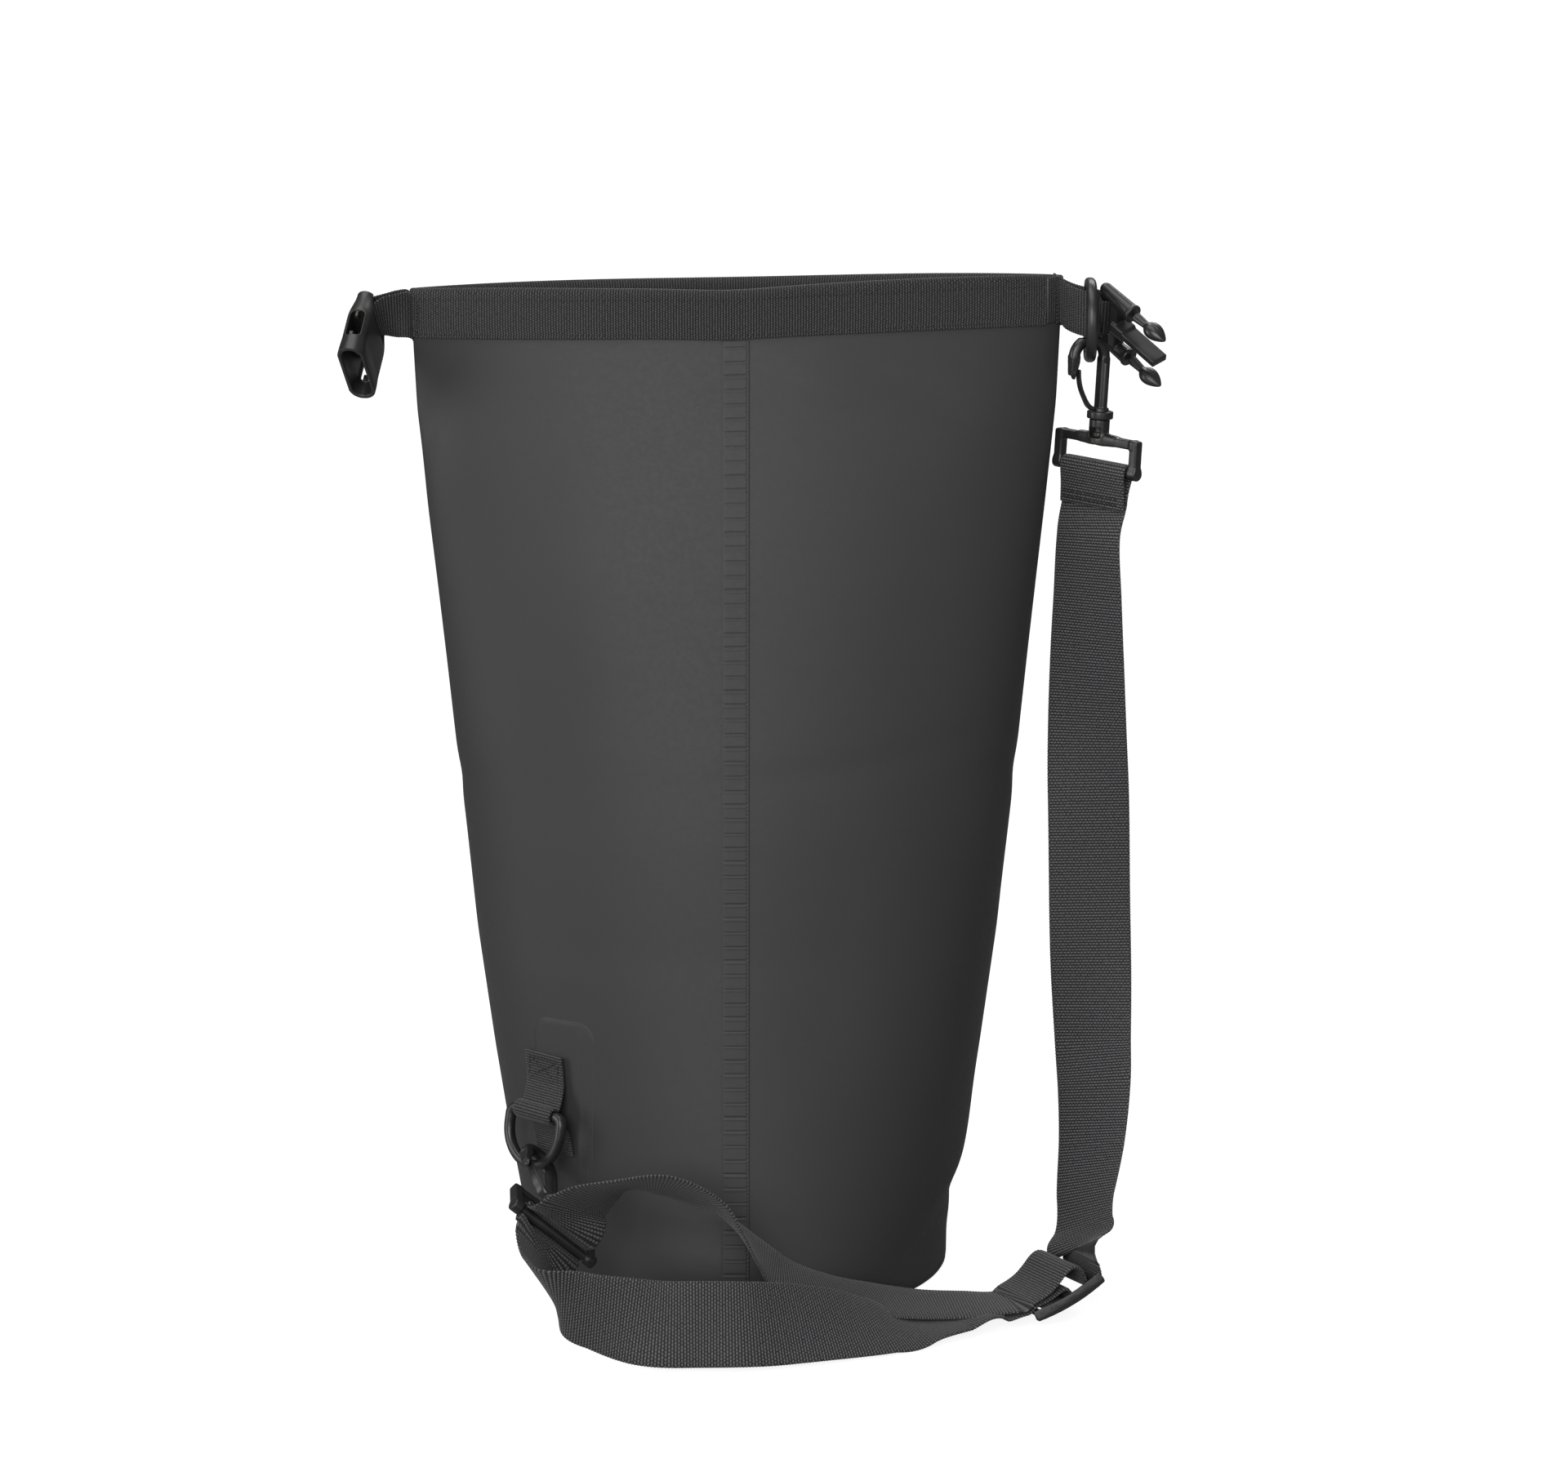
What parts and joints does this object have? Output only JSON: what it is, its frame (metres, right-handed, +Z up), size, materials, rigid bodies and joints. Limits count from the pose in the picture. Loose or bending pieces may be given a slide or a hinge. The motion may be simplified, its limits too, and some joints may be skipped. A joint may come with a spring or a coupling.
{
  "type": "rope storage bag",
  "caption": "Upright roll-top tube bag of coated fabric with a webbing mouth band, side-release buckle halves on side loops, and a clip-on shoulder strap with swivel hooks.",
  "frame": {"origin": "centre of the round base's underside, on the floor", "axes": "+Z up; -Y out of the welded seam's side, towards the viewer; +X to the viewer's right, the side where the strap's upper hook hangs"},
  "size_m": [0.3774, 0.2713, 0.4675],
  "materials": {
    "coated_cloth": "matt coated",
    "webbing": "ribbed weave",
    "strap_webbing": "ribbed weave",
    "hardware_plastic": "satin"
  },
  "bodies": {
    "bag": {"bag_tube": "coated_cloth", "base_disc": "coated_cloth", "base_cuff": "coated_cloth", "back_seam": "coated_cloth", "mouth_band_front": "webbing", "mouth_band_back": "webbing", "stiffener_front": "hardware_plastic", "stiffener_back": "hardware_plastic", "left_loop": "webbing", "right_loop": "webbing", "upper_swivel_frame": "hardware_plastic", "shoulder_strap": "strap_webbing", "strap_slider": "hardware_plastic", "lower_swivel_frame": "hardware_plastic", "d_ring_tab": "webbing", "d_ring_patch": "coated_cloth"},
    "female_buckle": {"female_buckle": "hardware_plastic"},
    "male_buckle": {"male_buckle": "hardware_plastic"},
    "male_prong_upper": {"male_prong_upper": "hardware_plastic"},
    "male_prong_lower": {"male_prong_lower": "hardware_plastic"},
    "upper_d_ring": {"upper_d_ring": "hardware_plastic"},
    "upper_snap_hook": {"upper_snap_hook": "hardware_plastic"},
    "upper_hook_gate": {"upper_hook_gate": "hardware_plastic"},
    "lower_d_ring": {"lower_d_ring": "hardware_plastic"},
    "lower_snap_hook": {"lower_snap_hook": "hardware_plastic"},
    "lower_hook_gate": {"lower_hook_gate": "hardware_plastic"}
  },
  "joints": [
    {"name": "female_buckle_swing", "type": "hinge", "parent": "bag", "child": "female_buckle", "pos_m": [-0.1685, 0.004, 0.4485], "axis": [-0.1333, -0.6873, 0.714], "range_deg": [-60, 20]},
    {"name": "male_buckle_swing", "type": "hinge", "parent": "bag", "child": "male_buckle", "pos_m": [0.17, 0.006, 0.4505], "axis": [0.0057, -0.6244, 0.7811], "range_deg": [-8, 50]},
    {"name": "upper_prong_squeeze", "type": "hinge", "parent": "male_buckle", "child": "male_prong_upper", "pos_m": [0.18277, -0.01574, 0.4507], "axis": [-0.7987, -0.4728, -0.3722], "range_deg": [-9, 0], "stiffness_Nm_per_rad": 0.8},
    {"name": "lower_prong_squeeze", "type": "hinge", "parent": "male_buckle", "child": "male_prong_lower", "pos_m": [0.18262, 0.0015, 0.42914], "axis": [-0.7987, -0.4728, -0.3722], "range_deg": [0, 9], "stiffness_Nm_per_rad": 0.8},
    {"name": "upper_ring_swing", "type": "hinge", "parent": "bag", "child": "upper_d_ring", "pos_m": [0.1626, 0.0066, 0.448], "axis": [0, 0, 1], "range_deg": [-1, 3]},
    {"name": "upper_hook_swivel", "type": "hinge", "parent": "bag", "child": "upper_snap_hook", "pos_m": [0.16909, -0.00123, 0.43006], "axis": [-0.0499, 0.0299, -0.9983], "range_deg": [-2, 6]},
    {"name": "upper_gate_flex", "type": "hinge", "parent": "upper_snap_hook", "child": "upper_hook_gate", "pos_m": [0.16368, -0.00272, 0.40764], "axis": [0.4507, -0.8913, -0.0493], "range_deg": [-22, 0], "stiffness_Nm_per_rad": 0.15},
    {"name": "lower_ring_swing", "type": "hinge", "parent": "bag", "child": "lower_d_ring", "pos_m": [-0.09206, -0.0621, 0.08844], "axis": [0.7141, -0.7001, 0], "range_deg": [-2, 0.4]},
    {"name": "lower_hook_swivel", "type": "hinge", "parent": "bag", "child": "lower_snap_hook", "pos_m": [-0.08579, -0.06765, 0.05994], "axis": [0.071, -0.9654, -0.2511], "range_deg": [-4, 0.6]},
    {"name": "lower_gate_flex", "type": "hinge", "parent": "lower_snap_hook", "child": "lower_hook_gate", "pos_m": [-0.08743, -0.09058, 0.05761], "axis": [0.7317, -0.1206, 0.6708], "range_deg": [-7, 0], "stiffness_Nm_per_rad": 0.15}
  ],
  "couplings": [
    {"joint": "lower_prong_squeeze", "follows": "upper_prong_squeeze", "ratio": -1}
  ]
}
